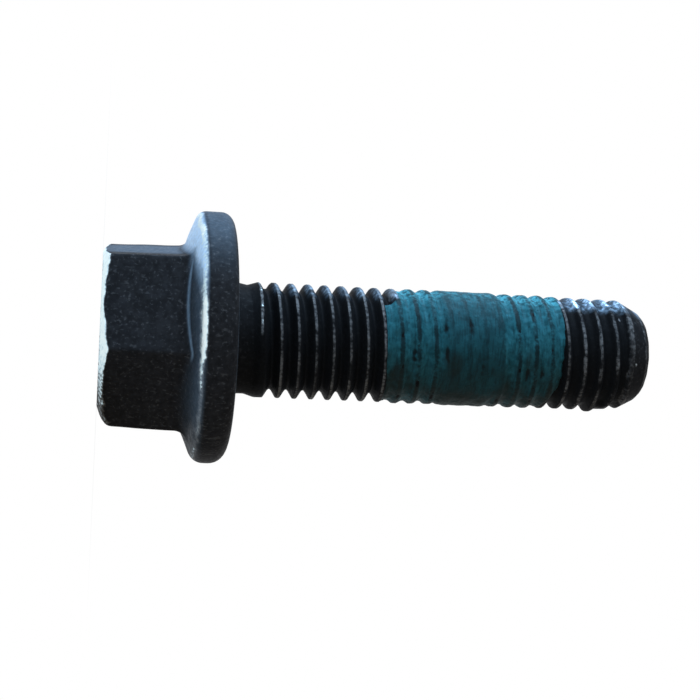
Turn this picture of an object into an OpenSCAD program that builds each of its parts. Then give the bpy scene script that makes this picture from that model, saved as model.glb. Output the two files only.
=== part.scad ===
// Hex flange bolt, M12 with coarse thread, carrying a dried band of thread-locking compound.
// The bolt stands on its head: +Z runs from the head to the point, and the origin is the
// centre of the bearing face under the flange.

/* [Head] */
// Height of the head over the bearing face, flange included
head_h = 13; // [10:0.1:18]
// Width across the flats at the top of the head
hex_af = 17.1; // [15:0.1:19]
// Forging draft of each flat, in degrees, opening towards the flange
hex_draft = 1.5; // [0:0.1:3]
// How far the corners of the hexagon are rounded off
corner_cut = 0.06; // [0.02:0.01:0.3]
// Diameter of the flat that the bolt stands on
head_flat_d = 15.4; // [8:0.1:16]
// Slope of the chamfer round the top of the head, in degrees
head_chamfer = 20; // [5:0.5:30]
// Radius of the blend between the flats and the flange
hex_blend = 1; // [0.2:0.05:1.2]

/* [Flange] */
// Diameter of the flange
flange_d = 25.7; // [23.5:0.1:32]
// Height of the flange at its rim, before the edge is rounded
flange_h = 3.3; // [2.8:0.1:4]
// Slope of the flange's conical face, in degrees
flange_slope = 22; // [10:1:28]
// Rounding of the rim on the head side
rim_top_r = 1.2; // [0.2:0.05:1.5]
// Rounding of the rim on the bearing side
rim_low_r = 1.4; // [0.2:0.05:1.5]

/* [Shank] */
// Length from the bearing face to the point
shank_len = 43.8; // [30:0.1:90]
// Diameter of the plain neck under the head
neck_d = 11.2; // [10.4:0.05:11.6]
// Length of the neck
neck_len = 2.25; // [1.2:0.05:6]
// Radius of the fillet between the bearing face and the neck
neck_fillet = 0.5; // [0.2:0.05:1]
// Length of the shoulder from the neck up to the thread
shoulder_len = 0.6; // [0.3:0.05:1.5]
// Length of the chamfered point
tip_len = 2.7; // [1.5:0.1:4]
// Diameter of the flat at the end of the point
tip_d = 8.6; // [6:0.1:9.4]
// Rounding between the chamfer and the end of the point
tip_r = 0.5; // [0.1:0.05:0.8]

/* [Thread] */
// Diameter over the crests
thread_d = 11.9; // [11.7:0.01:12.4]
// Distance from one crest to the next
thread_pitch = 1.75; // [1.5:0.05:2]
// Depth of the groove
thread_depth = 1; // [0.6:0.05:1.1]
// Width of the flat on each crest
thread_crest = 0.3; // [0.25:0.01:0.5]
// Angle between the two flanks of the groove, in degrees
thread_angle = 60; // [50:1:62]
// Turns over which the groove runs in from the neck
run_in_turns = 0.6; // [0.5:0.1:2]

/* [Thread lock] */
// Distance from the bearing face to the band of compound
coat_from = 15.2; // [8:0.1:20]
// Length of the band along the thread
coat_len = 18.9; // [6:0.1:22]
// How far the compound stays below the crests
coat_below_crest = 0.08; // [0.02:0.01:0.4]

/* [Hidden] */

// Facets: rings of the groove in each turn, and points on each rounded edge
turn_steps = 36;
edge_steps = 8;
$fn = 96;

flange_r = flange_d / 2;
neck_r = neck_d / 2;
crest_r = thread_d / 2;
tip_end_r = tip_d / 2;

// The hexagon grows by this much in radius for each millimetre towards the flange
draft_rate = tan(hex_draft);
head_flat_r = head_flat_d / 2;
corner_r = hex_af / 2 / cos(30) - corner_cut;
chamfer_h = (corner_r - head_flat_r) * tan(head_chamfer);
cone_rate = tan(flange_slope);
flat_foot_r = foot_radius(hex_af / 2);
corner_foot_r = foot_radius(corner_r);

// The cutter of the groove reaches this far outside the crests
cut_clear = 0.08;
cut_r = crest_r + cut_clear;
groove_top_w = thread_pitch - thread_crest;
flank_rate = tan(thread_angle / 2);
groove_root_w = groove_top_w - 2 * flank_rate * thread_depth;
// The groove starts on the shoulder and leaves through the point
groove_from = neck_len + shoulder_len - thread_crest;
groove_turns = ceil((shank_len - groove_from) / thread_pitch) + 1;
// The turns of the groove that the compound lies in
coat_first_turn = max(0, floor((coat_from - groove_from) / thread_pitch) - 1);
coat_last_turn = min(groove_turns, ceil((coat_from + coat_len - groove_from) / thread_pitch) + 1);

// Points on an arc, from one angle to another
function arc(centre, r, from, to) =
    [for (i = [0:edge_steps])
        let (a = from + (to - from) * i / edge_steps)
        centre + r * [cos(a), sin(a)]];

// Radius at which a drafted wall of the head comes down to the flange's cone
function foot_radius(top_r) =
    (top_r + draft_rate * (head_h - flange_h - cone_rate * flange_r)) / (1 - draft_rate * cone_rate);

// Depth of the groove after a number of turns: it deepens as it runs in
function groove_depth(turn) = thread_depth * min(1, turn / run_in_turns);

// Section of the groove after a number of turns, as [radius, height above its middle]
function groove_section(turn) =
    let (root_r = crest_r - groove_depth(turn),
         root = groove_root_w / 2,
         mouth = root + flank_rate * (cut_r - root_r))
    [[root_r, -root], [cut_r, -mouth], [cut_r, mouth], [root_r, root]];

// A point of the section, wound to its place on the helix
function wound(point, turn) =
    [point[0] * cos(360 * turn),
     point[0] * sin(360 * turn),
     point[1] + groove_from + thread_pitch * turn];

// The right-hand helical groove that the thread rolling dies press in, between two of its turns
module thread_groove(first_turn, last_turn) {
    sides = 4;
    rings = (last_turn - first_turn) * turn_steps;
    points = [for (i = [0:rings])
        let (turn = first_turn + i / turn_steps)
        for (p = groove_section(turn)) wound(p, turn)];
    walls = [for (i = [0:rings - 1], j = [0:sides - 1])
        let (k = (j + 1) % sides, low = i * sides, high = low + sides)
        each [[low + j, low + k, high + j], [low + k, high + k, high + j]]];
    start = [for (j = [sides - 1:-1:0]) j];
    end = [for (j = [0:sides - 1]) rings * sides + j];
    polyhedron(points, concat(walls, [start, end]));
}

// A six-sided body through rings given as [height, width across flats / 2]
module hex_loft(rings) {
    last = len(rings) - 1;
    points = [for (ring = rings, c = [0:5])
        let (r = ring[1] / cos(30))
        [r * cos(60 * c), r * sin(60 * c), ring[0]]];
    walls = [for (i = [0:last - 1], c = [0:5])
        let (d = (c + 1) % 6)
        [6 * i + c, 6 * i + 6 + c, 6 * i + 6 + d, 6 * i + d]];
    polyhedron(points, concat(walls, [[for (c = [0:5]) c], [for (c = [5:-1:0]) 6 * last + c]]));
}

// The blend from a wall of the head to the flange's cone, as [radius, height] points
function foot_blend(foot_r) =
    let (cone_z = -flange_h - cone_rate * (flange_r - foot_r),
         centre_z = cone_z - hex_blend * (1 - sin(flange_slope)) / cos(flange_slope))
    arc([foot_r + hex_blend, centre_z], hex_blend, 180, 90 + flange_slope);

// The hexagon with its draft, the blend at its foot, its rounded corners and its chamfered top
module hex() {
    flat_blend = foot_blend(flat_foot_r);
    intersection() {
        hex_loft(concat(
            [[-head_h, hex_af / 2]],
            [for (p = flat_blend) [p[1], p[0]]],
            [[-flange_h, flat_blend[edge_steps][0]]]));
        rotate_extrude()
            polygon(concat(
                [[0, -head_h],
                 [head_flat_r, -head_h],
                 [corner_r, chamfer_h - head_h]],
                foot_blend(corner_foot_r),
                [[flange_r - rim_top_r, -flange_h],
                 [0, -flange_h]]));
    }
}

// The flange: flat bearing face, rounded rim and conical upper face
module flange() {
    top_centre_h = flange_h - rim_top_r * (1 - sin(flange_slope)) / cos(flange_slope);
    mirror([0, 0, 1])
        rotate_extrude()
            polygon(concat(
                [[0, 0]],
                arc([flange_r - rim_low_r, rim_low_r], rim_low_r, -90, 0),
                arc([flange_r - rim_top_r, top_centre_h], rim_top_r, 0, 90 - flange_slope),
                [[0, flange_h + cone_rate * flange_r]]));
}

// The shank before the thread is rolled: neck, shoulder, thread diameter and point
module shank() {
    rotate_extrude()
        polygon(concat(
            [[0, -flange_h / 2], [neck_r + neck_fillet, -flange_h / 2]],
            arc([neck_r + neck_fillet, neck_fillet], neck_fillet, 270, 180),
            [[neck_r, neck_len],
             [crest_r, neck_len + shoulder_len],
             [crest_r, shank_len - tip_len],
             [tip_end_r + tip_r, shank_len - tip_r],
             [tip_end_r, shank_len],
             [0, shank_len]]));
}

// The bolt is one forged piece with its thread rolled in
module bolt() {
    color([0.09, 0.09, 0.1])
        difference() {
            union() {
                hex();
                flange();
                shank();
            }
            thread_groove(0, groove_turns);
        }
}

// The compound lies in the groove, over the length of the band
module thread_lock_patch() {
    color([0.05, 0.3, 0.34])
        intersection() {
            thread_groove(coat_first_turn, coat_last_turn);
            translate([0, 0, coat_from])
                cylinder(h = coat_len, r = crest_r - coat_below_crest);
        }
}

bolt();
thread_lock_patch();
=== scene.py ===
"""Looks of the hex flange bolt: worn black steel, and a dried band of thread-locking compound.

Both pieces replace their CAD solids with finer meshes of the same form, which add the small uneven
forms of this one worn bolt. Sizes are in millimetres, in the frame's own axes: +Z runs from the head
to the point, and z = 0 is the bearing face. Places round the bolt are in turns (0 to 1) from the +X
axis, or in degrees from the side that the photograph shows.
"""
import math

import bpy
import numpy as np
from mathutils import Matrix, Vector


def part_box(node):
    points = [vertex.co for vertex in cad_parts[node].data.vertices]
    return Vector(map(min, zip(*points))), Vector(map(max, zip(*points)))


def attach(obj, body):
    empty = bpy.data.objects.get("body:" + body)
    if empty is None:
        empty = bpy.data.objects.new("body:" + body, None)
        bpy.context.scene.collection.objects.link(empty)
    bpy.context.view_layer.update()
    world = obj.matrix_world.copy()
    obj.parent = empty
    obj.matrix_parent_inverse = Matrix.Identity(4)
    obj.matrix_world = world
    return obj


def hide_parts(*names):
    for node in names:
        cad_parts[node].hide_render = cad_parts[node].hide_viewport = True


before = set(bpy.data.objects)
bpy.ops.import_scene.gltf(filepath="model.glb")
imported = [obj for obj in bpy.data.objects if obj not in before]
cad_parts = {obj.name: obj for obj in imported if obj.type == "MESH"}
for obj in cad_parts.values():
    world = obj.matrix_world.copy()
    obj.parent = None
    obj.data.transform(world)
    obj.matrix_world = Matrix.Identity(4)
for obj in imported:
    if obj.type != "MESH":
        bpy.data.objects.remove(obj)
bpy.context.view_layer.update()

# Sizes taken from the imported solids
MM = 0.001
bolt_low, bolt_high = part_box("bolt")
coat_low, coat_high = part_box("thread_lock_patch")
HEAD_TOP = bolt_low.z / MM
POINT_END = bolt_high.z / MM
FLANGE_R = bolt_high.x / MM
COAT_FROM = coat_low.z / MM
COAT_TO = coat_high.z / MM

# Head
HEX_AF = 17.1
HEX_DRAFT = math.radians(1.5)
CORNER_FILLET = 0.4
HEAD_FLAT_R = 7.7
CHAMFER_SLOPE = math.tan(math.radians(20))
EDGE_BREAK = 0.25
HEX_BLEND = 1.0

# Flange
FLANGE_H = 3.3
FLANGE_SLOPE = math.radians(22)
RIM_TOP_R = 1.2
RIM_LOW_R = 1.4

# Shank: the fillet and the shoulder's rise are larger than in the solids, as the photograph shows
NECK_R = 5.6
NECK_LEN = 2.25
NECK_FILLET = 1.2
SHOULDER_LEN = 0.6
SHOULDER_RISE = 1.1
TIP_LEN = 2.7
TIP_END_R = 4.3
TIP_R = 0.5

# Thread
CREST_R = 5.95
PITCH = 1.75
THREAD_DEPTH = 1.0
CREST_W = 0.3
FLANK_RATE = math.tan(math.radians(30))
ROOT_HALF_W = (PITCH - CREST_W) / 2 - FLANK_RATE * THREAD_DEPTH
GROOVE_FROM = NECK_LEN + SHOULDER_LEN - CREST_W
RUN_IN_TURNS = 0.6

# Compound: the stretch where it covers the crests, and the bare ridge where it starts
THICK_FROM = 21.6
THICK_TO = 27.7
BARE_RIDGE_Z = 16.6

# Its stain and its largest pits, in degrees from the photograph's side and along the axis
STAIN = (14, 22.4)
PITS = ((-23, 21.6), (-22, 24.2), (7, 21.8), (17, 25.5), (25, 32.0), (26, 30.4), (8, 18.4))

# Small bare spots near the point, in the same measures
SPECKS = ((9.5, 42.0), (-44.0, 40.5))

# Damage near the point: its side of the bolt, and where a burr, a clogged groove and a worn crest lie
DAMAGE_SIDE = 84
BURR_Z = 38.6
CLOG_Z = 39.3
WORN_CREST_Z = 40.5

# Mesh: columns round the bolt, and rows in each pitch of the thread
COLUMNS_PER_FLAT = 32
COLUMNS = 6 * COLUMNS_PER_FLAT
ROWS_PER_PITCH = 16
SHARP_ANGLE = math.radians(50)

# The head's level rows end at this height in the neck's fillet, and the winding rows start just above it
NECK_JOIN = 0.5
LATTICE_FROM = NECK_JOIN + 0.1

# Camera of the photograph: just above the floor, rolled so that the bolt lies across the picture
VIEW_AZIMUTH = 20.5
CAMERA_BACK = 147.6
CAMERA_DOWN = 0.64
CAMERA_Z = -12.8
CAMERA_PITCH = math.radians(9.81)
CAMERA_ROLL = math.radians(2.53)
LENS = 74.0
SENSOR = 36.0


def ramp(x, start, end):
    """Smooth step from 0 at start to 1 at end."""
    t = np.clip((x - start) / (end - start), 0.0, 1.0)
    return t * t * (3.0 - 2.0 * t)


def soft_min(a, b, width):
    """The smaller of two values, with the corner between them rounded over a width."""
    return 0.5 * (a + b - np.sqrt((a - b) ** 2 + width ** 2))


def smooth_noise(seed, turn, z, cells, cell_z):
    """Seeded noise from -1 to 1 that closes round the bolt, in cells round it and cell_z along it."""
    rows = int((POINT_END - HEAD_TOP) / cell_z) + 4
    grid = np.random.default_rng(seed).uniform(-1.0, 1.0, (rows, cells))
    across = (turn % 1.0) * cells
    along = np.clip((z - HEAD_TOP) / cell_z, 0.0, rows - 2.001)
    col = np.floor(across).astype(int)
    row = np.floor(along).astype(int)
    u = ramp(across - col, 0.0, 1.0)
    v = ramp(along - row, 0.0, 1.0)
    left, right = col % cells, (col + 1) % cells
    low = grid[row, left] * (1 - u) + grid[row, right] * u
    high = grid[row + 1, left] * (1 - u) + grid[row + 1, right] * u
    return low * (1 - v) + high * v


def from_front(turn):
    """Degrees from the side that the photograph shows: -90 is its upper edge, 90 its lower."""
    front = VIEW_AZIMUTH - 90.0
    return (turn * 360.0 - front + 180.0) % 360.0 - 180.0


def column_turns():
    """Places of the columns round the bolt, closer together at the corners of the hexagon."""
    crowding = 0.55
    t = np.arange(COLUMNS_PER_FLAT) / COLUMNS_PER_FLAT * 2.0 - 1.0
    one_flat = 30.0 * ((1 - crowding) * t + crowding * np.sin(t * math.pi / 2)) + 30.0
    return np.concatenate([one_flat + 60.0 * k for k in range(6)]) / 360.0


def wall_radius(turn, z):
    """Radius of the drafted hexagon with its rounded corners."""
    apothem = HEX_AF / 2 + math.tan(HEX_DRAFT) * (z - HEAD_TOP)
    sector = (turn * 360.0 + 30.0) % 60.0 - 30.0
    from_corner = np.radians(np.abs(sector))
    centre = (apothem - CORNER_FILLET) / math.cos(math.pi / 6)
    tangent = np.arctan2(CORNER_FILLET / 2, centre + CORNER_FILLET * math.cos(math.pi / 6))
    inside = np.maximum(CORNER_FILLET ** 2 - (centre * np.sin(from_corner)) ** 2, 0.0)
    rounded = centre * np.cos(from_corner) + np.sqrt(inside)
    flat = apothem / np.cos(math.pi / 6 - from_corner)
    return np.where(from_corner < tangent, rounded, flat)


def line(start, end):
    """A straight stretch of the section, as a function of the share of it that is passed."""
    return lambda f: tuple(p + (q - p) * f for p, q in zip(start, end))


def arc(centre_r, centre_z, radius, start, end):
    """A round stretch of the section, from one angle to another, in degrees."""
    def place(f):
        angle = math.radians(start + (end - start) * f)
        return centre_r + radius * math.cos(angle), centre_z + radius * math.sin(angle)
    return place


def curve(start, corner, end):
    """A rounded corner of the section."""
    def place(f):
        shares = ((1 - f) ** 2, 2 * f * (1 - f), f * f)
        return tuple(sum(s * p for s, p in zip(shares, points)) for points in zip(start, corner, end))
    return place


def even(steps):
    """Shares of a stretch at even steps, without its end."""
    return np.arange(steps) / steps


def head_rows(turn):
    """The head's section at each column, from the middle of its top into the neck's fillet.

    Each row also has a station: 0 to 1 on the flat top, 1 to 2 on the chamfer, 2 to 3 on its worn edge,
    3 to 4 on the wall, 4 to 5 on the blend at its foot, 5 to 6 on the cone, 6 to 7 on the rounding of
    the rim, 7 to 8 on the rim, 8 to 9 on its rounding below, 9 to 10 on the bearing face and 10 to 11
    on the neck's fillet.
    """
    ones = np.ones_like(turn)
    side = from_front(turn)
    worn_round = ramp(side, 30, 80) * ramp(side, 170, 120)
    downward = np.sin(np.radians(side))
    # The flat inside the chamfer lies slightly off centre, towards the photograph's upper side
    wider = 0.1
    off_centre = 0.4
    flat_r = HEAD_FLAT_R + wider - off_centre * downward
    cone = math.tan(FLANGE_SLOPE)
    slope_deg = math.degrees(FLANGE_SLOPE)
    blend_share = (1 - math.sin(FLANGE_SLOPE)) / math.cos(FLANGE_SLOPE)

    # Where the chamfer meets the wall of the hexagon
    edge_r = HEX_AF / 2 * ones
    for _ in range(4):
        edge_z = HEAD_TOP + (edge_r - flat_r) * CHAMFER_SLOPE
        edge_r = wall_radius(turn, edge_z)
    edge_break = EDGE_BREAK + 0.5 * worn_round
    chamfer_end = (edge_r - edge_break, edge_z - edge_break * CHAMFER_SLOPE)
    wall_start_z = edge_z + edge_break
    wall_start = (wall_radius(turn, wall_start_z), wall_start_z)

    # Where the wall comes down to the cone of the flange
    foot_r = wall_radius(turn, -FLANGE_H)
    for _ in range(4):
        foot_z = -FLANGE_H - cone * (FLANGE_R - foot_r)
        foot_r = wall_radius(turn, foot_z)
    # The blend at the foot is larger on the photograph's upper and lower sides
    hex_blend = HEX_BLEND + 0.5 * downward ** 2
    blend = arc(foot_r + hex_blend, foot_z - hex_blend * blend_share, hex_blend, 180, 90 + slope_deg)

    # The rim is slightly sharper than in the solids, but worn rounder on the photograph's lower side
    rim_top_r = RIM_TOP_R - 0.15 + 0.5 * worn_round
    rim_low_r = RIM_LOW_R - 0.1 + 0.45 * worn_round
    rim_top = arc(FLANGE_R - rim_top_r, rim_top_r * blend_share - FLANGE_H, rim_top_r, slope_deg - 90, 0)
    rim_low = arc(FLANGE_R - rim_low_r, -rim_low_r, rim_low_r, 0, 90)
    join = 180 + math.degrees(math.asin(1 - NECK_JOIN / NECK_FILLET))
    neck = arc(NECK_R + NECK_FILLET, NECK_FILLET, NECK_FILLET, 270, join)

    stretches = [
        (line((0.0, HEAD_TOP), (flat_r, HEAD_TOP)), (0.25, 0.5, 0.75, 0.94)),
        (line((flat_r, HEAD_TOP), chamfer_end), even(4)),
        (curve(chamfer_end, (edge_r, edge_z), wall_start), even(5)),
        (line(wall_start, blend(0)), even(14)),
        (blend, even(8)),
        (line(blend(1), rim_top(0)), even(7)),
        (rim_top, even(10)),
        (line(rim_top(1), rim_low(0)), even(4)),
        (rim_low, even(8)),
        (line(rim_low(1), neck(0)), even(5)),
        (neck, np.linspace(0, 1, 6)),
    ]
    rows = [stretch(f) for stretch, shares in stretches for f in shares]
    station = np.array([first + f for first, (_, shares) in enumerate(stretches) for f in shares])
    radii = np.array([r * ones for r, _ in rows])
    heights = np.array([z * ones for _, z in rows])
    station = station[:, None]
    # The flange was forged slightly out of square, and thicker on the photograph's upper side
    askew = 0.1 * downward * radii / FLANGE_R
    heights = heights + askew * ramp(station, 4.6, 5.4) * ramp(station, 10.0, 9.0)
    thicker = 0.15 * ramp(side, -30, -75) * ramp(side, -150, -105)
    heights = heights - thicker * ramp(station, 4.2, 5.2) * ramp(station, 8.0, 6.6)
    return radii, heights, station


def shank_envelope(z):
    """Radius of the shank before its thread is rolled."""
    shoulder = NECK_LEN + SHOULDER_LEN
    rise_from = shoulder - SHOULDER_RISE
    stations = [0.0, rise_from, shoulder, POINT_END - TIP_LEN, POINT_END - TIP_R, POINT_END]
    radii = [NECK_R, NECK_R, CREST_R, CREST_R, TIP_END_R + TIP_R, TIP_END_R]
    in_fillet = np.clip(NECK_FILLET - z, 0.0, NECK_FILLET)
    flare = NECK_FILLET - np.sqrt(NECK_FILLET ** 2 - in_fillet ** 2)
    return np.interp(z, stations, radii) + flare


def thread_section(turn, z):
    """Depth of the rolled groove below the crests, and the distance along the axis from its middle."""
    q = (z - GROOVE_FROM) / PITCH - turn
    nearest = np.round(q)
    from_middle = np.abs(q - nearest) * PITCH
    run_in = np.clip((nearest + turn) / RUN_IN_TURNS, 0.0, 1.0)
    full = THREAD_DEPTH * run_in
    flank = full - (from_middle - ROOT_HALF_W) / FLANK_RATE

    # Grooves are partly clogged near the point, and on the photograph's upper side also near the neck
    side = from_front(turn)
    upper = ramp(side, -40, -80) * ramp(side, -140, -100)
    clogged = 0.35 * ramp(z, COAT_TO - 3.0, COAT_TO + 1.0)
    clogged = clogged + 0.3 * upper * ramp(z, COAT_TO - 1.0, COAT_TO + 1.5)
    clogged = clogged + 0.2 * upper * ramp(z, NECK_LEN + 4.0, NECK_LEN + 1.5)

    crest_rounding = 0.1
    root_rounding = 0.2
    depth = soft_min(flank, full * (1 - clogged), root_rounding)
    depth = -soft_min(-depth, 0.0, crest_rounding)
    return depth - crest_rounding / 2, from_middle


def shank_surface(turn, z):
    """Radius of the finished shank, and how near each place is to the middle of a crest (0 to 1)."""
    depth, from_middle = thread_section(turn, z)
    uneven = 0.02 * smooth_noise(11, turn, z, 40, 0.9)
    edge_rounding = 0.03
    from_damage = np.abs(from_front(turn) - DAMAGE_SIDE)
    burr = 0.16 * ramp(np.abs(z - BURR_Z), 0.7, 0.1) * ramp(from_damage, 24, 8)
    clog = 0.7 * ramp(np.abs(z - CLOG_Z), 1.1, 0.5) * ramp(from_damage, 24, 10)
    worn_off = 0.17 * ramp(np.abs(z - WORN_CREST_Z), 0.9, 0.3) * ramp(from_damage, 26, 10)
    rolled = CREST_R + uneven - np.maximum(depth * (1 - clog), 0.0)
    radius = soft_min(rolled, shank_envelope(z), edge_rounding) + burr - worn_off

    # The worn lands of the crests are broader and ragged near the point
    ragged = 0.05 * smooth_noise(13, turn, z, 70, 0.6)
    land = PITCH / 2 - CREST_W / 2 - (0.05 + ragged) * ramp(z, COAT_TO - 0.5, COAT_TO + 1.5)
    crest = ramp(from_middle, land - 0.06, land + 0.06)
    crest = crest * ramp(z, NECK_LEN + 0.2, NECK_LEN + SHOULDER_LEN)
    return radius, crest


def lattice(turn, first_z, last_z):
    """Places along the axis of a lattice whose rows wind with the thread, at least to last_z."""
    rows = math.ceil((last_z - first_z) / PITCH * ROWS_PER_PITCH) + 1
    row = np.arange(rows)[:, None]
    return first_z + PITCH * (row / ROWS_PER_PITCH + turn[None, :])


def strip_faces(first, rows, columns):
    """Quads between constant rows that close round the bolt."""
    faces = []
    for i in range(rows - 1):
        for j in range(columns):
            k = (j + 1) % columns
            low, high = first + i * columns, first + (i + 1) * columns
            faces.append((low + j, low + k, high + k, high + j))
    return faces


def winding_faces(first, rows, columns):
    """Quads of a lattice whose rows gain a pitch in each turn; its last column meets its first."""
    faces = []
    for i in range(rows - 1):
        low, high = first + i * columns, first + (i + 1) * columns
        for j in range(columns - 1):
            faces.append((low + j, low + j + 1, high + j + 1, high + j))
        if i + ROWS_PER_PITCH + 1 < rows:
            over = low + ROWS_PER_PITCH * columns
            faces.append((low + columns - 1, over, over + columns, high + columns - 1))
    return faces


def start_seam(ring, first, columns):
    """Faces from a constant ring to the first winding row, with the step of one pitch at the seam."""
    faces = []
    for j in range(columns - 1):
        faces.append((ring + j, ring + j + 1, first + j + 1, first + j))
    last_ring, last_row = ring + columns - 1, first + columns - 1
    step = [ring] + [first + i * columns for i in range(ROWS_PER_PITCH + 1)]
    middle = len(step) // 2
    for a, b in zip(step[:middle], step[1:middle + 1]):
        faces.append((last_ring, a, b))
    faces.append((last_ring, step[middle], last_row))
    for a, b in zip(step[middle:-1], step[middle + 1:]):
        faces.append((last_row, a, b))
    return faces


def end_loop(first, rows, columns):
    """The open edge of the lattice's far end, in order round the bolt."""
    last = first + (rows - 1) * columns
    loop = [last + j for j in range(columns)]
    loop += [last + columns - 1 - i * columns for i in range(1, ROWS_PER_PITCH + 1)]
    return loop


def make_piece(name, points, faces, fields):
    """A smooth-shaded mesh from points in millimetres, with float attributes for its material."""
    mesh = bpy.data.meshes.new(name)
    mesh.from_pydata((points * MM).tolist(), [], faces)
    for key, values in fields.items():
        attribute = mesh.attributes.new(key, "FLOAT", "POINT")
        attribute.data.foreach_set("value", np.ascontiguousarray(values, dtype=np.float32))
    mesh.shade_smooth()
    mesh.set_sharp_from_angle(angle=SHARP_ANGLE)
    piece = bpy.data.objects.new(name, mesh)
    bpy.context.scene.collection.objects.link(piece)
    return piece


def to_points(turn, radius, z):
    """Points in the frame from rows of radius and height at the columns' turns."""
    angle = turn * 2 * math.pi
    x, y = radius * np.cos(angle), radius * np.sin(angle)
    return np.stack([x, y, np.broadcast_to(z, x.shape)], axis=-1).reshape(-1, 3)


def head_looks(turn, z, station):
    """How worn (partly a painted highlight), how strong a painted highlight, and how light the finish of
    the head is, each from 0 to 1.
    """
    side = from_front(turn)
    patchy = 0.5 + 0.5 * smooth_noise(21, turn, z, 26, 2.4)
    fine = 0.5 + 0.5 * smooth_noise(22, turn, z, 120, 0.4)
    jagged = 0.12 * smooth_noise(23, turn, z, 130, 3.0) + 0.08 * smooth_noise(24, turn, z, 40, 3.0)
    upper = ramp(side, -165, -115) * ramp(side, 52, 14)
    behind = ramp(np.abs(side), 120, 150)

    # Bare metal on the chamfer and along the rounded edge of the flange. It is laid on more strongly on
    # the upper side, and that extra is a painted highlight
    upper_chamfer = ramp(side, -165, -115) * ramp(side, 78, 2)
    chamfer_amount = 0.4 + 0.62 * np.maximum(upper_chamfer, 0.6 * behind)
    chamfer_amount = chamfer_amount + 0.35 * (patchy * fine - 0.25)
    chamfer = ramp(station, 0.8, 1.1) * ramp(station + 1.5 * jagged, 3.0, 2.45) * chamfer_amount
    bright_spot = ramp(side, -22, -6) * ramp(side, 13, 6)
    rim_amount = 0.44 + 0.3 * np.maximum(upper, 0.4 * behind) * ramp(side, 40, 5) + 0.4 * bright_spot
    rim_amount = rim_amount + 0.3 * (patchy - 0.5) + 0.25 * (fine - 0.5)
    narrow = 0.1 * ramp(side, 0, 20)
    rim = ramp(station - narrow + jagged, 5.65, 6.2) * ramp(station + narrow + jagged, 6.78, 6.4)
    rim = rim * rim_amount

    # Specks of bare metal on the cone's lower side
    low_side = ramp(side, 30, 62) * ramp(side, 150, 110)
    low_cone = ramp(station, 4.8, 5.5) * ramp(station, 6.8, 6.2) * low_side
    wear_and_highlight = np.maximum.reduce([chamfer, rim, low_cone * (0.18 + 0.45 * patchy * fine)])

    # Painted bluish highlight on the cone, strongest on the photograph's upper side, with thin painted
    # highlight lines along the foot of the wall and the rim's lower edge
    on_cone = ramp(station, 4.3, 5.1) * ramp(station, 6.8, 6.3)
    outward = ramp(station, 4.9, 6.2)
    cone_highlight = ramp(side - 26 * outward, -38, -62) * ramp(side, -170, -120)
    foot_line = ramp(station, 4.7, 4.85) * ramp(station, 5.12, 4.98) * ramp(np.abs(side + 18), 34, 26)
    lower_line = ramp(np.abs(station - 8.95), 0.2, 0.05)
    painted_sheen = on_cone * (0.03 + 0.12 * outward * (1 - 0.8 * low_side) + 0.82 * cone_highlight)

    # Weaker painted highlights on the upper flat of the hexagon and the upper side of the rim
    top_flat = 0.095 * ramp(station, 2.6, 3.2) * ramp(station, 4.6, 4.2)
    top_flat = top_flat * ramp(side, -55, -68) * ramp(side, -112, -98)
    top_rim = ramp(station, 6.5, 7.0) * ramp(station, 8.8, 8.4)
    top_rim = top_rim * ramp(side, -22, -66) * ramp(side, -120, -100)
    painted_sheen = np.maximum(painted_sheen, 0.38 * foot_line + 0.07 * lower_line + top_flat)
    painted_sheen = np.maximum(painted_sheen, 0.08 * top_rim)

    # The bearing face is darker towards the neck
    light = 1 - 0.64 * ramp(station, 9.2, 9.9) * np.ones_like(z)
    return np.clip(wear_and_highlight, 0, 1), np.clip(painted_sheen, 0, 1), light


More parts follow.
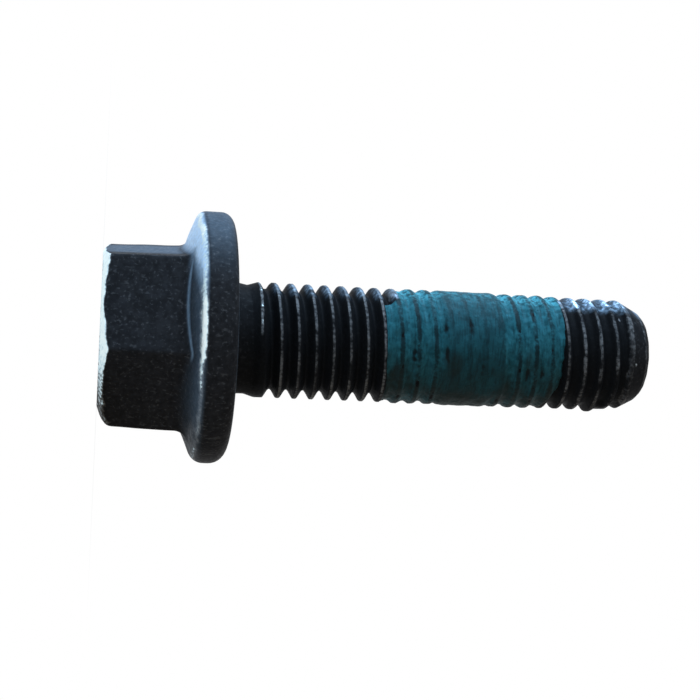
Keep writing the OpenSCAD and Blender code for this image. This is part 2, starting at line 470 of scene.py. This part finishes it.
def thread_looks(turn, z, crest):
    """How worn (partly a painted highlight), how strong a painted highlight, and how light the finish of
    the shank is, each from 0 to 1.
    """
    side = from_front(turn)
    _, from_middle = thread_section(turn, z)
    patchy = 0.5 + 0.5 * smooth_noise(31, turn, z, 30, 1.2)
    fine = 0.5 + 0.5 * smooth_noise(32, turn, z, 110, 0.5)
    near_point = ramp(z, COAT_TO - 0.5, COAT_TO + 1.5)
    first_turn = ramp(z, NECK_LEN + 1.6, NECK_LEN + 1.0)
    crest_line = 0.22 + 0.2 * patchy + 0.12 * (fine - 0.5)
    crest_line = crest_line - near_point * (0.06 + 0.05 * ramp(side, -10, 30))
    crest_line = crest_line - 0.05 * ramp(np.abs(side - 10), 45, 20) * (1 - near_point)
    coated = ramp(z, COAT_FROM + 1.0, COAT_FROM + 2.0) * ramp(z, COAT_TO - 0.4, COAT_TO - 1.2)
    wear_and_highlight = crest * crest_line * (1 - 0.75 * first_turn) * (1 - 0.6 * coated)

    # The ridge where the compound starts is bare on the photograph's upper side; the grey laid on it
    # there is a painted highlight
    cap = ramp(np.abs(z - BARE_RIDGE_Z), 0.75, 0.3) * ramp(side, -52, -64) * ramp(side, -115, -90)
    wear_and_highlight = np.maximum(wear_and_highlight, cap * (0.24 + 0.12 * fine))

    # Beads of bare metal on the edge of the first shoulder
    shoulder = ramp(np.abs(z - NECK_LEN - SHOULDER_LEN), 0.2, 0.08)
    wear_and_highlight = np.maximum(wear_and_highlight, shoulder * (0.3 + 0.25 * fine) * ramp(side, 5, -15) * ramp(side, -120, -90))

    # A scuffed ring where the point begins
    point_from = POINT_END - TIP_LEN
    ring = ramp(np.abs(z - point_from - 0.35), 0.6, 0.2) * ramp(np.abs(side), 100, 40)
    wear_and_highlight = np.maximum(wear_and_highlight, ring * (0.14 + 0.5 * patchy * fine))

    for speck_side, speck_z in SPECKS:
        from_speck = np.hypot((side - speck_side) / 3.0, (z - speck_z) / 0.15)
        wear_and_highlight = np.maximum(wear_and_highlight, 0.65 * ramp(from_speck, 1.0, 0.4))

    # Painted highlights on the ridges on the photograph's upper side, most of all near the point,
    # spreading into the grooves there and broken into spots
    ridge = ramp(from_middle, 0.3, 0.62) * ramp(z, NECK_LEN + 0.5, NECK_LEN + 4.0)
    ridge = ridge + 0.22 * near_point * (1 - ridge)
    lit_side_highlight = ramp(side, -48, -65) * (1 - 0.75 * ramp(side, -70, -86)) * ramp(side, -130, -105)
    spots = ramp(smooth_noise(34, turn, z, 170, 0.3), -0.3, 0.5)
    painted_sheen = ridge * lit_side_highlight * (0.3 + 0.8 * near_point) * (0.35 + 0.7 * spots + 0.5 * fine * patchy)
    on_point = ramp(z, point_from, point_from + 0.4)
    painted_sheen = painted_sheen * (1 - 0.75 * on_point)

    # The flat end of the point is neither worn nor given a painted highlight
    beside_end = ramp(z, POINT_END, POINT_END - 0.15)
    wear_and_highlight = wear_and_highlight * beside_end
    painted_sheen = painted_sheen * beside_end
    light = 0.1 + 0.26 * ramp(z, NECK_LEN + 0.4, NECK_LEN - 0.6) + 0.38 * on_point
    return np.clip(wear_and_highlight, 0, 1), np.clip(painted_sheen, 0, 1), light


def make_bolt():
    """The forged and rolled bolt as one closed mesh."""
    turn = column_turns()
    head_r, head_z, station = head_rows(turn)
    dents = 0.03 * smooth_noise(12, turn, head_z, 34, 2.2)
    head_r = head_r + dents * ramp(station, 1.2, 2.0) * ramp(station, 8.6, 8.0)

    # Rows that run past the end of the point are folded inward onto its flat
    past_end = 0.15
    z = lattice(turn, LATTICE_FROM, POINT_END + past_end)
    over = np.maximum(z - POINT_END, 0.0)
    shank_z = np.minimum(z, POINT_END)
    shank_r, crest = shank_surface(turn[None, :], shank_z)
    shank_r = np.where(over > 0, TIP_END_R - over, shank_r)

    points = np.concatenate([
        [[0.0, 0.0, HEAD_TOP]],
        to_points(turn, head_r, head_z),
        to_points(turn, shank_r, shank_z),
        [[0.0, 0.0, POINT_END]],
    ])
    head_first = 1
    head_count = len(head_r)
    ring = head_first + (head_count - 1) * COLUMNS
    shank_first = head_first + head_count * COLUMNS
    end = len(points) - 1

    faces = [(0, head_first + (j + 1) % COLUMNS, head_first + j) for j in range(COLUMNS)]
    faces += strip_faces(head_first, head_count, COLUMNS)
    faces += start_seam(ring, shank_first, COLUMNS)
    faces += winding_faces(shank_first, len(z), COLUMNS)
    loop = end_loop(shank_first, len(z), COLUMNS)
    faces += [(a, b, end) for a, b in zip(loop, loop[1:] + loop[:1])]

    on_head = head_looks(turn[None, :], head_z, station)
    on_shank = thread_looks(turn[None, :], shank_z, crest)
    names = ("wear_and_highlight", "painted_sheen", "light")
    fields = {key: np.concatenate([a[0, :1], a.ravel(), b.ravel(), b[-1, -1:]])
              for key, a, b in zip(names, on_head, on_shank)}
    return make_piece("bolt_black_steel", points, faces, fields)


def coat_edges(turn):
    """Where the band of compound starts and ends along the axis: its ends are uneven round the bolt."""
    side = from_front(turn)
    lower = ramp(side, 160, 110)
    start = COAT_FROM + 0.15 + 0.6 * ramp(side, 10, 50) * lower
    start = start + 1.6 * ramp(side, -43, -57) * ramp(side, -135, -105)
    start = start + 0.1 * smooth_noise(41, turn, 0 * turn, 40, 5.0)
    end = COAT_TO + 0.05 + 0.25 * ramp(side, -10, -60) * ramp(side, -160, -110)
    end = end - 1.1 * ramp(side, 35, 72) * lower
    end = end + 0.12 * smooth_noise(42, turn, 0 * turn, 40, 5.0)
    end = end + 0.08 * smooth_noise(49, turn, 0 * turn, 110, 5.0)
    return start, end


def make_coat():
    """The dried band of compound: it fills the groove, and covers the crests in its thick stretch."""
    turn = column_turns()
    margin = 0.6
    z = lattice(turn, COAT_FROM - margin - PITCH, COAT_TO + margin)
    turns = np.broadcast_to(turn, z.shape)
    side = from_front(turns)
    steel_r, _ = shank_surface(turns, z)
    _, from_middle = thread_section(turns, z)

    start, end = coat_edges(turn)
    inside = np.minimum(z - start, end - z)
    covered = ramp(inside, -0.05, 0.3)
    fade = 0.6
    wandering = z + 0.8 * smooth_noise(43, turns, z, 10, 3.0)
    thick = ramp(wandering, THICK_FROM - fade, THICK_FROM + fade)
    thick = thick * ramp(wandering, THICK_TO + fade, THICK_TO - fade)

    # The compound dries to a dished level in the groove, and to a film over the crests where it is thick
    lumps = smooth_noise(44, turns, z, 36, 0.8)
    fine = smooth_noise(45, turns, z, 96, 0.35)
    dish = 0.3 * (1 - ramp(from_middle, 0.1, PITCH / 2 - CREST_W / 2))
    fill = CREST_R + 0.015 - dish + 0.05 * lumps + 0.02 * fine
    film = CREST_R + 0.04 + 0.03 * lumps + 0.02 * fine - 0.1 * dish
    level = fill + (film - fill) * thick
    # Past both ends the skin dips under the steel
    sunk = 0.06
    wall = 0.08
    outer = steel_r - sunk + covered * (level - steel_r + sunk)
    inner = np.minimum(steel_r, outer) - wall

    # Painted shade darkens the photograph's lower side to a warm dark colour; real grime lies in
    # patches, near the end of the band and in a stain
    patches = smooth_noise(46, turns, z, 12, 2.2) + 0.5 * smooth_noise(47, turns, z, 30, 0.9)
    dirt_and_shade = ramp(side, -10, 60) * (0.88 + 0.4 * patches + 0.2 * thick)
    dirt_and_shade = dirt_and_shade + 0.5 * ramp(patches, 0.3, 1.0) * ramp(side, -40, 10)
    dirt_and_shade = dirt_and_shade + 0.4 * ramp(z, COAT_TO - 2.6, COAT_TO - 0.6) * ramp(side, 0, 40)
    stain_side, stain_z = STAIN
    stain = np.hypot((side - stain_side) / 16.0, (z - stain_z) / 1.5) + 0.3 * lumps
    dirt_and_shade = dirt_and_shade + 0.5 * ramp(stain, 1.0, 0.3)
    dirt_and_shade = np.clip(dirt_and_shade * ramp(side, 175, 120), 0.0, 1.0)

    pit_depth = 0.06
    pit = np.zeros_like(z)
    for pit_side, pit_z in PITS:
        from_pit = np.hypot((side - pit_side) / 9.0, (z - pit_z) / 0.25) + 0.6 * fine
        pit = np.maximum(pit, ramp(from_pit, 1.0, 0.4))
    outer = outer - pit_depth * pit

    count = len(z)
    points = np.concatenate([to_points(turn, outer, z), to_points(turn, inner, z)])
    inner_first = count * COLUMNS
    faces = winding_faces(0, count, COLUMNS)
    faces += [tuple(reversed(f)) for f in winding_faces(inner_first, count, COLUMNS)]
    near = list(range(COLUMNS)) + [i * COLUMNS for i in range(ROWS_PER_PITCH, 0, -1)]
    far = end_loop(0, count, COLUMNS)
    for loop, flip in ((near, True), (far, False)):
        for a, b in zip(loop, loop[1:] + loop[:1]):
            face = (a, b, inner_first + b, inner_first + a)
            faces.append(tuple(reversed(face)) if flip else face)

    # Crests show dark through the coat, in broken lines
    crest = ramp(from_middle, PITCH / 2 - 0.42, PITCH / 2 - 0.08)
    crest = crest * (0.62 + 0.38 * ramp(smooth_noise(48, turns, z, 30, 1.6), -0.5, 0.3))
    # Painted highlight in pale teal on the upper side, weaker where the compound is thick
    lit_side_highlight = ramp(side, -46, -74) * ramp(side, -140, -110) * (1 - 0.6 * thick)
    looks = {"thick": thick, "crest": crest, "dirt_and_shade": dirt_and_shade, "pit": pit, "lit_side_highlight": lit_side_highlight}
    fields = {key: np.tile(values.ravel(), 2) for key, values in looks.items()}
    return make_piece("thread_lock_band", points, faces, fields)


class Shader:
    """The node tree of a material or a world, with short ways to add and join nodes."""

    def __init__(self, owner):
        owner.use_nodes = True
        self.owner = owner
        self.tree = owner.node_tree

    def add(self, kind, **settings):
        """A new node; settings are its own properties."""
        node = self.tree.nodes.new(kind)
        for key, value in settings.items():
            setattr(node, key, value)
        return node

    def join(self, source, target):
        """Links an output socket to an input socket."""
        self.tree.links.new(source, target)

    def put(self, socket, value):
        """Links a socket to an input, or sets the input to a constant."""
        if isinstance(value, bpy.types.NodeSocket):
            self.join(value, socket)
        else:
            socket.default_value = value

    def noise(self, size, detail=3.0, stretch=(1.0, 1.0, 1.0)):
        """Noise in the object's own space, with features of a size in millimetres."""
        place = self.add("ShaderNodeTexCoord")
        scale = self.add("ShaderNodeMapping")
        scale.inputs["Scale"].default_value = [s / (size * MM) for s in stretch]
        texture = self.add("ShaderNodeTexNoise")
        texture.inputs["Scale"].default_value = 1.0
        texture.inputs["Detail"].default_value = detail
        self.join(place.outputs["Object"], scale.inputs["Vector"])
        self.join(scale.outputs["Vector"], texture.inputs["Vector"])
        return texture.outputs["Fac"]

    def field(self, name):
        """A float attribute of the mesh."""
        return self.add("ShaderNodeAttribute", attribute_name=name).outputs["Fac"]

    def math(self, operation, a, b):
        """One arithmetic step between sockets or numbers."""
        node = self.add("ShaderNodeMath", operation=operation)
        self.put(node.inputs[0], a)
        self.put(node.inputs[1], b)
        return node.outputs["Value"]

    def step(self, value, low, high, to_low=0.0, to_high=1.0):
        """Smooth step of a socket between two levels."""
        node = self.add("ShaderNodeMapRange", interpolation_type="SMOOTHSTEP")
        self.put(node.inputs["Value"], value)
        node.inputs["From Min"].default_value = low
        node.inputs["From Max"].default_value = high
        node.inputs["To Min"].default_value = to_low
        node.inputs["To Max"].default_value = to_high
        return node.outputs["Result"]

    def mix(self, share, a, b):
        """Colour a where share is 0, and colour b where it is 1.

        In a node that mixes colours the factor is input 0, the colours are inputs 6 and 7, and the
        result is output 2.
        """
        node = self.add("ShaderNodeMix", data_type="RGBA")
        self.put(node.inputs[0], share)
        self.put(node.inputs[6], a)
        self.put(node.inputs[7], b)
        return node.outputs[2]

    def scaled(self, colour, factor):
        """A colour made lighter or darker by a socket."""
        node = self.add("ShaderNodeVectorMath", operation="SCALE")
        node.inputs[0].default_value = colour[:3]
        self.join(factor, node.inputs["Scale"])
        return node.outputs["Vector"]

    def bump(self, height, distance, under=None):
        """Bump of a height field, with its full height in millimetres."""
        node = self.add("ShaderNodeBump")
        node.inputs["Distance"].default_value = distance * MM
        self.join(height, node.inputs["Height"])
        if under is not None:
            self.join(under, node.inputs["Normal"])
        return node.outputs["Normal"]


def steel_material():
    """Black phosphated steel, lighter on the head, with fine scuffs, bare metal along its edges and
    painted highlights.
    """
    s = Shader(bpy.data.materials.new("black_steel"))
    surface = s.tree.nodes["Principled BSDF"].inputs
    black = (0.006, 0.007, 0.0085, 1.0)
    slate = (0.0202, 0.0216, 0.0252, 1.0)
    grey = (0.15, 0.16, 0.175, 1.0)
    # The colour below is that of a painted highlight, not of the steel
    painted_highlight_blue = (0.46, 0.70, 0.98, 1.0)
    # Bare metal is real; its bluish tint, and the near-white where it is most worn, are a painted
    # reflection of cool light
    bare = (0.62, 0.80, 0.88, 1.0)
    polish_and_glint = (0.84, 0.97, 1.0, 1.0)

    light = s.field("light")
    grain = s.noise(0.35, detail=5.0)
    mottle = s.step(s.noise(0.6, detail=4.0), 0.3, 0.7, 0.75, 1.25)
    finish = s.mix(light, black, s.scaled(slate, mottle))

    specks = s.step(s.noise(0.3, detail=2.0), 0.58, 0.74)
    scratches = s.step(s.noise(0.38, detail=3.0, stretch=(1.0, 1.0, 0.45)), 0.6, 0.74)
    scuffed = s.step(light, 0.0, 1.0, 0.02, 0.27)
    scuffs = s.math("MULTIPLY", s.math("MAXIMUM", specks, scratches), scuffed)
    finish = s.mix(scuffs, finish, grey)

    wear_and_highlight = s.field("wear_and_highlight")
    broken = s.step(s.noise(0.3, detail=4.0), 0.0, 1.0, -0.4, 0.4)
    broken = s.math("MULTIPLY", broken, s.step(wear_and_highlight, 0.0, 0.6))
    broken = s.math("MULTIPLY", broken, s.step(wear_and_highlight, 0.8, 1.0, 1.0, 0.5))
    worn = s.math("ADD", wear_and_highlight, broken)
    bared = s.step(worn, 0.45, 0.8)
    gaps = s.step(s.noise(0.45, detail=4.0), 0.62, 0.4)
    gaps = s.math("MULTIPLY", gaps, s.step(light, 0.1, 0.6, 0.8, 0.2))
    # Painted highlight: the highlight field lays bluish metal over the finish, broken by gaps on the
    # shank
    painted_shine = s.math("MULTIPLY", s.field("painted_sheen"), s.math("SUBTRACT", 1.15, gaps))
    colour = s.mix(s.step(worn, 0.12, 0.45), finish, grey)
    colour = s.mix(painted_shine, colour, painted_highlight_blue)
    colour = s.mix(bared, colour, bare)
    colour = s.mix(s.step(worn, 0.8, 1.0), colour, polish_and_glint)

    s.join(colour, surface["Base Color"])
    metal = s.math("MULTIPLY", s.math("MAXIMUM", bared, painted_shine), 0.92)
    s.join(metal, surface["Metallic"])
    s.join(s.step(grain, 0.3, 0.7, 0.38, 0.54), surface["Roughness"])
    surface["Specular IOR Level"].default_value = 0.008
    fine = s.bump(grain, 0.03)
    s.join(s.bump(s.noise(1.6, detail=3.0), 0.05, fine), surface["Normal"])
    return s.owner


def coat_material():
    """Dried teal compound, uneven in colour, dark along the crests, with a painted pale highlight on its
    upper side, painted shade below and dirty patches.
    """
    s = Shader(bpy.data.materials.new("thread_lock"))
    surface = s.tree.nodes["Principled BSDF"].inputs
    teal = (0.011, 0.072, 0.096, 1.0)
    light = (0.030, 0.172, 0.226, 1.0)
    dull = (0.012, 0.062, 0.082, 1.0)
    dark = (0.006, 0.014, 0.018, 1.0)
    # A warm dark colour for painted shade on the lower side, mixed with real grime
    shade_and_dirt_brown = (0.0125, 0.0165, 0.0145, 1.0)
    # Pale teal for a painted highlight, not the compound's own colour
    pale = (0.075, 0.34, 0.43, 1.0)

    thick = s.field("thick")
    mottle = s.noise(0.55, detail=6.0)
    colour = s.mix(s.step(mottle, 0.26, 0.76), teal, light)
    colour = s.mix(s.math("MULTIPLY", thick, 0.7), colour, dull)
    # Painted highlight on the upper side
    colour = s.mix(s.math("MULTIPLY", s.field("lit_side_highlight"), s.step(mottle, 0.36, 0.6)), colour, pale)
    blotches = s.step(s.noise(1.1, detail=6.0), 0.46, 0.76, 0.0, 0.55)
    blotches = s.math("MULTIPLY", blotches, s.step(thick, 0.0, 1.0, 0.45, 1.0))
    colour = s.mix(blotches, colour, dark)
    streaks = s.step(s.noise(0.2, detail=4.0, stretch=(0.16, 0.16, 1.0)), 0.46, 0.66)
    colour = s.mix(s.math("MULTIPLY", streaks, 0.42), colour, dark)
    ragged = s.step(s.noise(0.25), 0.2, 0.8, -0.25, 0.25)
    crest = s.step(s.math("ADD", s.field("crest"), ragged), 0.2, 0.95)
    over_crest = s.step(thick, 0.0, 1.0, 0.85, 0.35)
    colour = s.mix(s.math("MULTIPLY", crest, over_crest), colour, dark)
    pits = s.step(s.noise(0.5, detail=3.0), 0.62, 0.84, 0.0, 0.7)
    colour = s.mix(s.math("MAXIMUM", pits, s.field("pit")), colour, dark)
    # Painted shade on the lower side and real grime
    colour = s.mix(s.math("MULTIPLY", s.field("dirt_and_shade"), 0.86), colour, shade_and_dirt_brown)

    grain = s.noise(0.25, detail=4.0)
    s.join(colour, surface["Base Color"])
    s.join(s.step(grain, 0.3, 0.7, 0.42, 0.62), surface["Roughness"])
    surface["Specular IOR Level"].default_value = 0.03
    s.join(s.bump(grain, 0.05), surface["Normal"])
    return s.owner


def seen_rays(shader):
    """1 for rays that show the background: from the camera, in a gloss or through glass."""
    path = shader.add("ShaderNodeLightPath")
    seen = shader.math("MAXIMUM", path.outputs["Is Camera Ray"], path.outputs["Is Glossy Ray"])
    return shader.math("MAXIMUM", seen, path.outputs["Is Transmission Ray"])


def make_floor():
    """A plain pale floor under the head, which is seen white but for a faint shadow of the bolt."""
    half = 1500 * MM
    z = HEAD_TOP * MM
    mesh = bpy.data.meshes.new("floor")
    corners = [(-half, -half, z), (half, -half, z), (half, half, z), (-half, half, z)]
    mesh.from_pydata(corners, [], [(0, 1, 2, 3)])
    floor = bpy.data.objects.new("floor", mesh)
    bpy.context.scene.collection.objects.link(floor)

    s = Shader(bpy.data.materials.new("floor"))
    surface = s.tree.nodes["Principled BSDF"]
    surface.inputs["Base Color"].default_value = (0.85, 0.85, 0.85, 1.0)
    surface.inputs["Roughness"].default_value = 0.9
    surface.inputs["Specular IOR Level"].default_value = 0.0
    glow = s.add("ShaderNodeEmission")
    glow.inputs["Strength"].default_value = 1.0
    blend = s.add("ShaderNodeMixShader")
    place = s.add("ShaderNodeTexCoord")
    away = s.add("ShaderNodeVectorMath", operation="LENGTH")
    s.join(place.outputs["Object"], away.inputs[0])
    # The share that glows is smaller near the head, so that the shadow shows there
    share = s.step(away.outputs["Value"], 14 * MM, 36 * MM, 0.85, 1.0)
    s.join(s.math("MULTIPLY", seen_rays(s), share), blend.inputs["Fac"])
    s.join(surface.outputs["BSDF"], blend.inputs[1])
    s.join(glow.outputs["Emission"], blend.inputs[2])
    s.join(blend.outputs["Shader"], s.tree.nodes["Material Output"].inputs["Surface"])
    mesh.materials.append(s.owner)


def make_world():
    """Weak warm light all round, and white where the background is seen."""
    world = bpy.data.worlds.new("studio")
    bpy.context.scene.world = world
    s = Shader(world)
    warm = (0.084, 0.06, 0.034, 1.0)
    white = (1.0, 1.0, 1.0, 1.0)
    s.join(s.mix(seen_rays(s), warm, white), s.tree.nodes["Background"].inputs["Color"])


def picture_axes():
    """The photograph's own directions in the frame: to its top, and from the bolt towards the camera."""
    front = math.radians(VIEW_AZIMUTH - 90.0)
    toward = Vector((math.cos(front), math.sin(front), 0.0))
    top = Vector((math.sin(front), -math.cos(front), 0.0))
    return top, toward


def make_lamp(name, place, target, size, radiance, colour):
    """A soft box that faces its target; places and its width and height are in millimetres."""
    lamp = bpy.data.lights.new(name, "AREA")
    lamp.shape = "RECTANGLE"
    lamp.size = size[0] * MM
    lamp.size_y = size[1] * MM
    lamp.energy = radiance * math.pi * lamp.size * lamp.size_y
    lamp.color = colour
    holder = bpy.data.objects.new(name, lamp)
    bpy.context.scene.collection.objects.link(holder)
    holder.location = place * MM
    holder.rotation_euler = (target - place).to_track_quat("-Z", "Y").to_euler()
    holder.visible_camera = False


def make_lamps():
    """A cool key on the photograph's upper side, a weaker fill, a warm bounce and a light overhead."""
    top, toward = picture_axes()
    up = Vector((0.0, 0.0, 1.0))
    middle = Vector((0.0, 0.0, 15.0))
    make_lamp("key", middle + 240 * top - 10 * toward + 45 * up, middle,
              size=(220, 130), radiance=12.0, colour=(0.58, 0.79, 1.0))
    make_lamp("fill", middle + 150 * top + 220 * toward + 60 * up, middle,
              size=(160, 130), radiance=2.4, colour=(0.72, 0.88, 1.0))
    make_lamp("bounce", middle - 220 * top + 120 * toward, middle,
              size=(200, 120), radiance=1.1, colour=(1.0, 0.72, 0.36))
    make_lamp("overhead", middle + 360 * up, middle,
              size=(300, 300), radiance=0.8, colour=(1.0, 1.0, 1.0))


def make_camera():
    """The photograph's camera: it looks at the bolt from just above the floor, rolled onto its side."""
    top, toward = picture_axes()
    along = Vector((0.0, 0.0, 1.0))
    forward = -toward * math.cos(CAMERA_PITCH) + along * math.sin(CAMERA_PITCH)
    level_right = toward * math.sin(CAMERA_PITCH) + along * math.cos(CAMERA_PITCH)
    right = level_right * math.cos(CAMERA_ROLL) + top * math.sin(CAMERA_ROLL)
    up = top * math.cos(CAMERA_ROLL) - level_right * math.sin(CAMERA_ROLL)
    data = bpy.data.cameras.new("camera")
    data.lens = LENS
    data.sensor_width = SENSOR
    data.clip_start = 1 * MM
    camera = bpy.data.objects.new("camera", data)
    bpy.context.scene.collection.objects.link(camera)
    place = toward * CAMERA_BACK - top * CAMERA_DOWN + along * CAMERA_Z
    turned = Matrix((right, up, -forward)).transposed().to_4x4()
    camera.matrix_world = Matrix.Translation(place * MM) @ turned
    bpy.context.scene.camera = camera


bolt = make_bolt()
bolt.data.materials.append(steel_material())
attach(bolt, "root")
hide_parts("bolt")

coat = make_coat()
coat.data.materials.append(coat_material())
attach(coat, "root")
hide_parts("thread_lock_patch")

make_floor()
make_world()
make_lamps()
make_camera()
bpy.context.scene.view_settings.view_transform = "Standard"
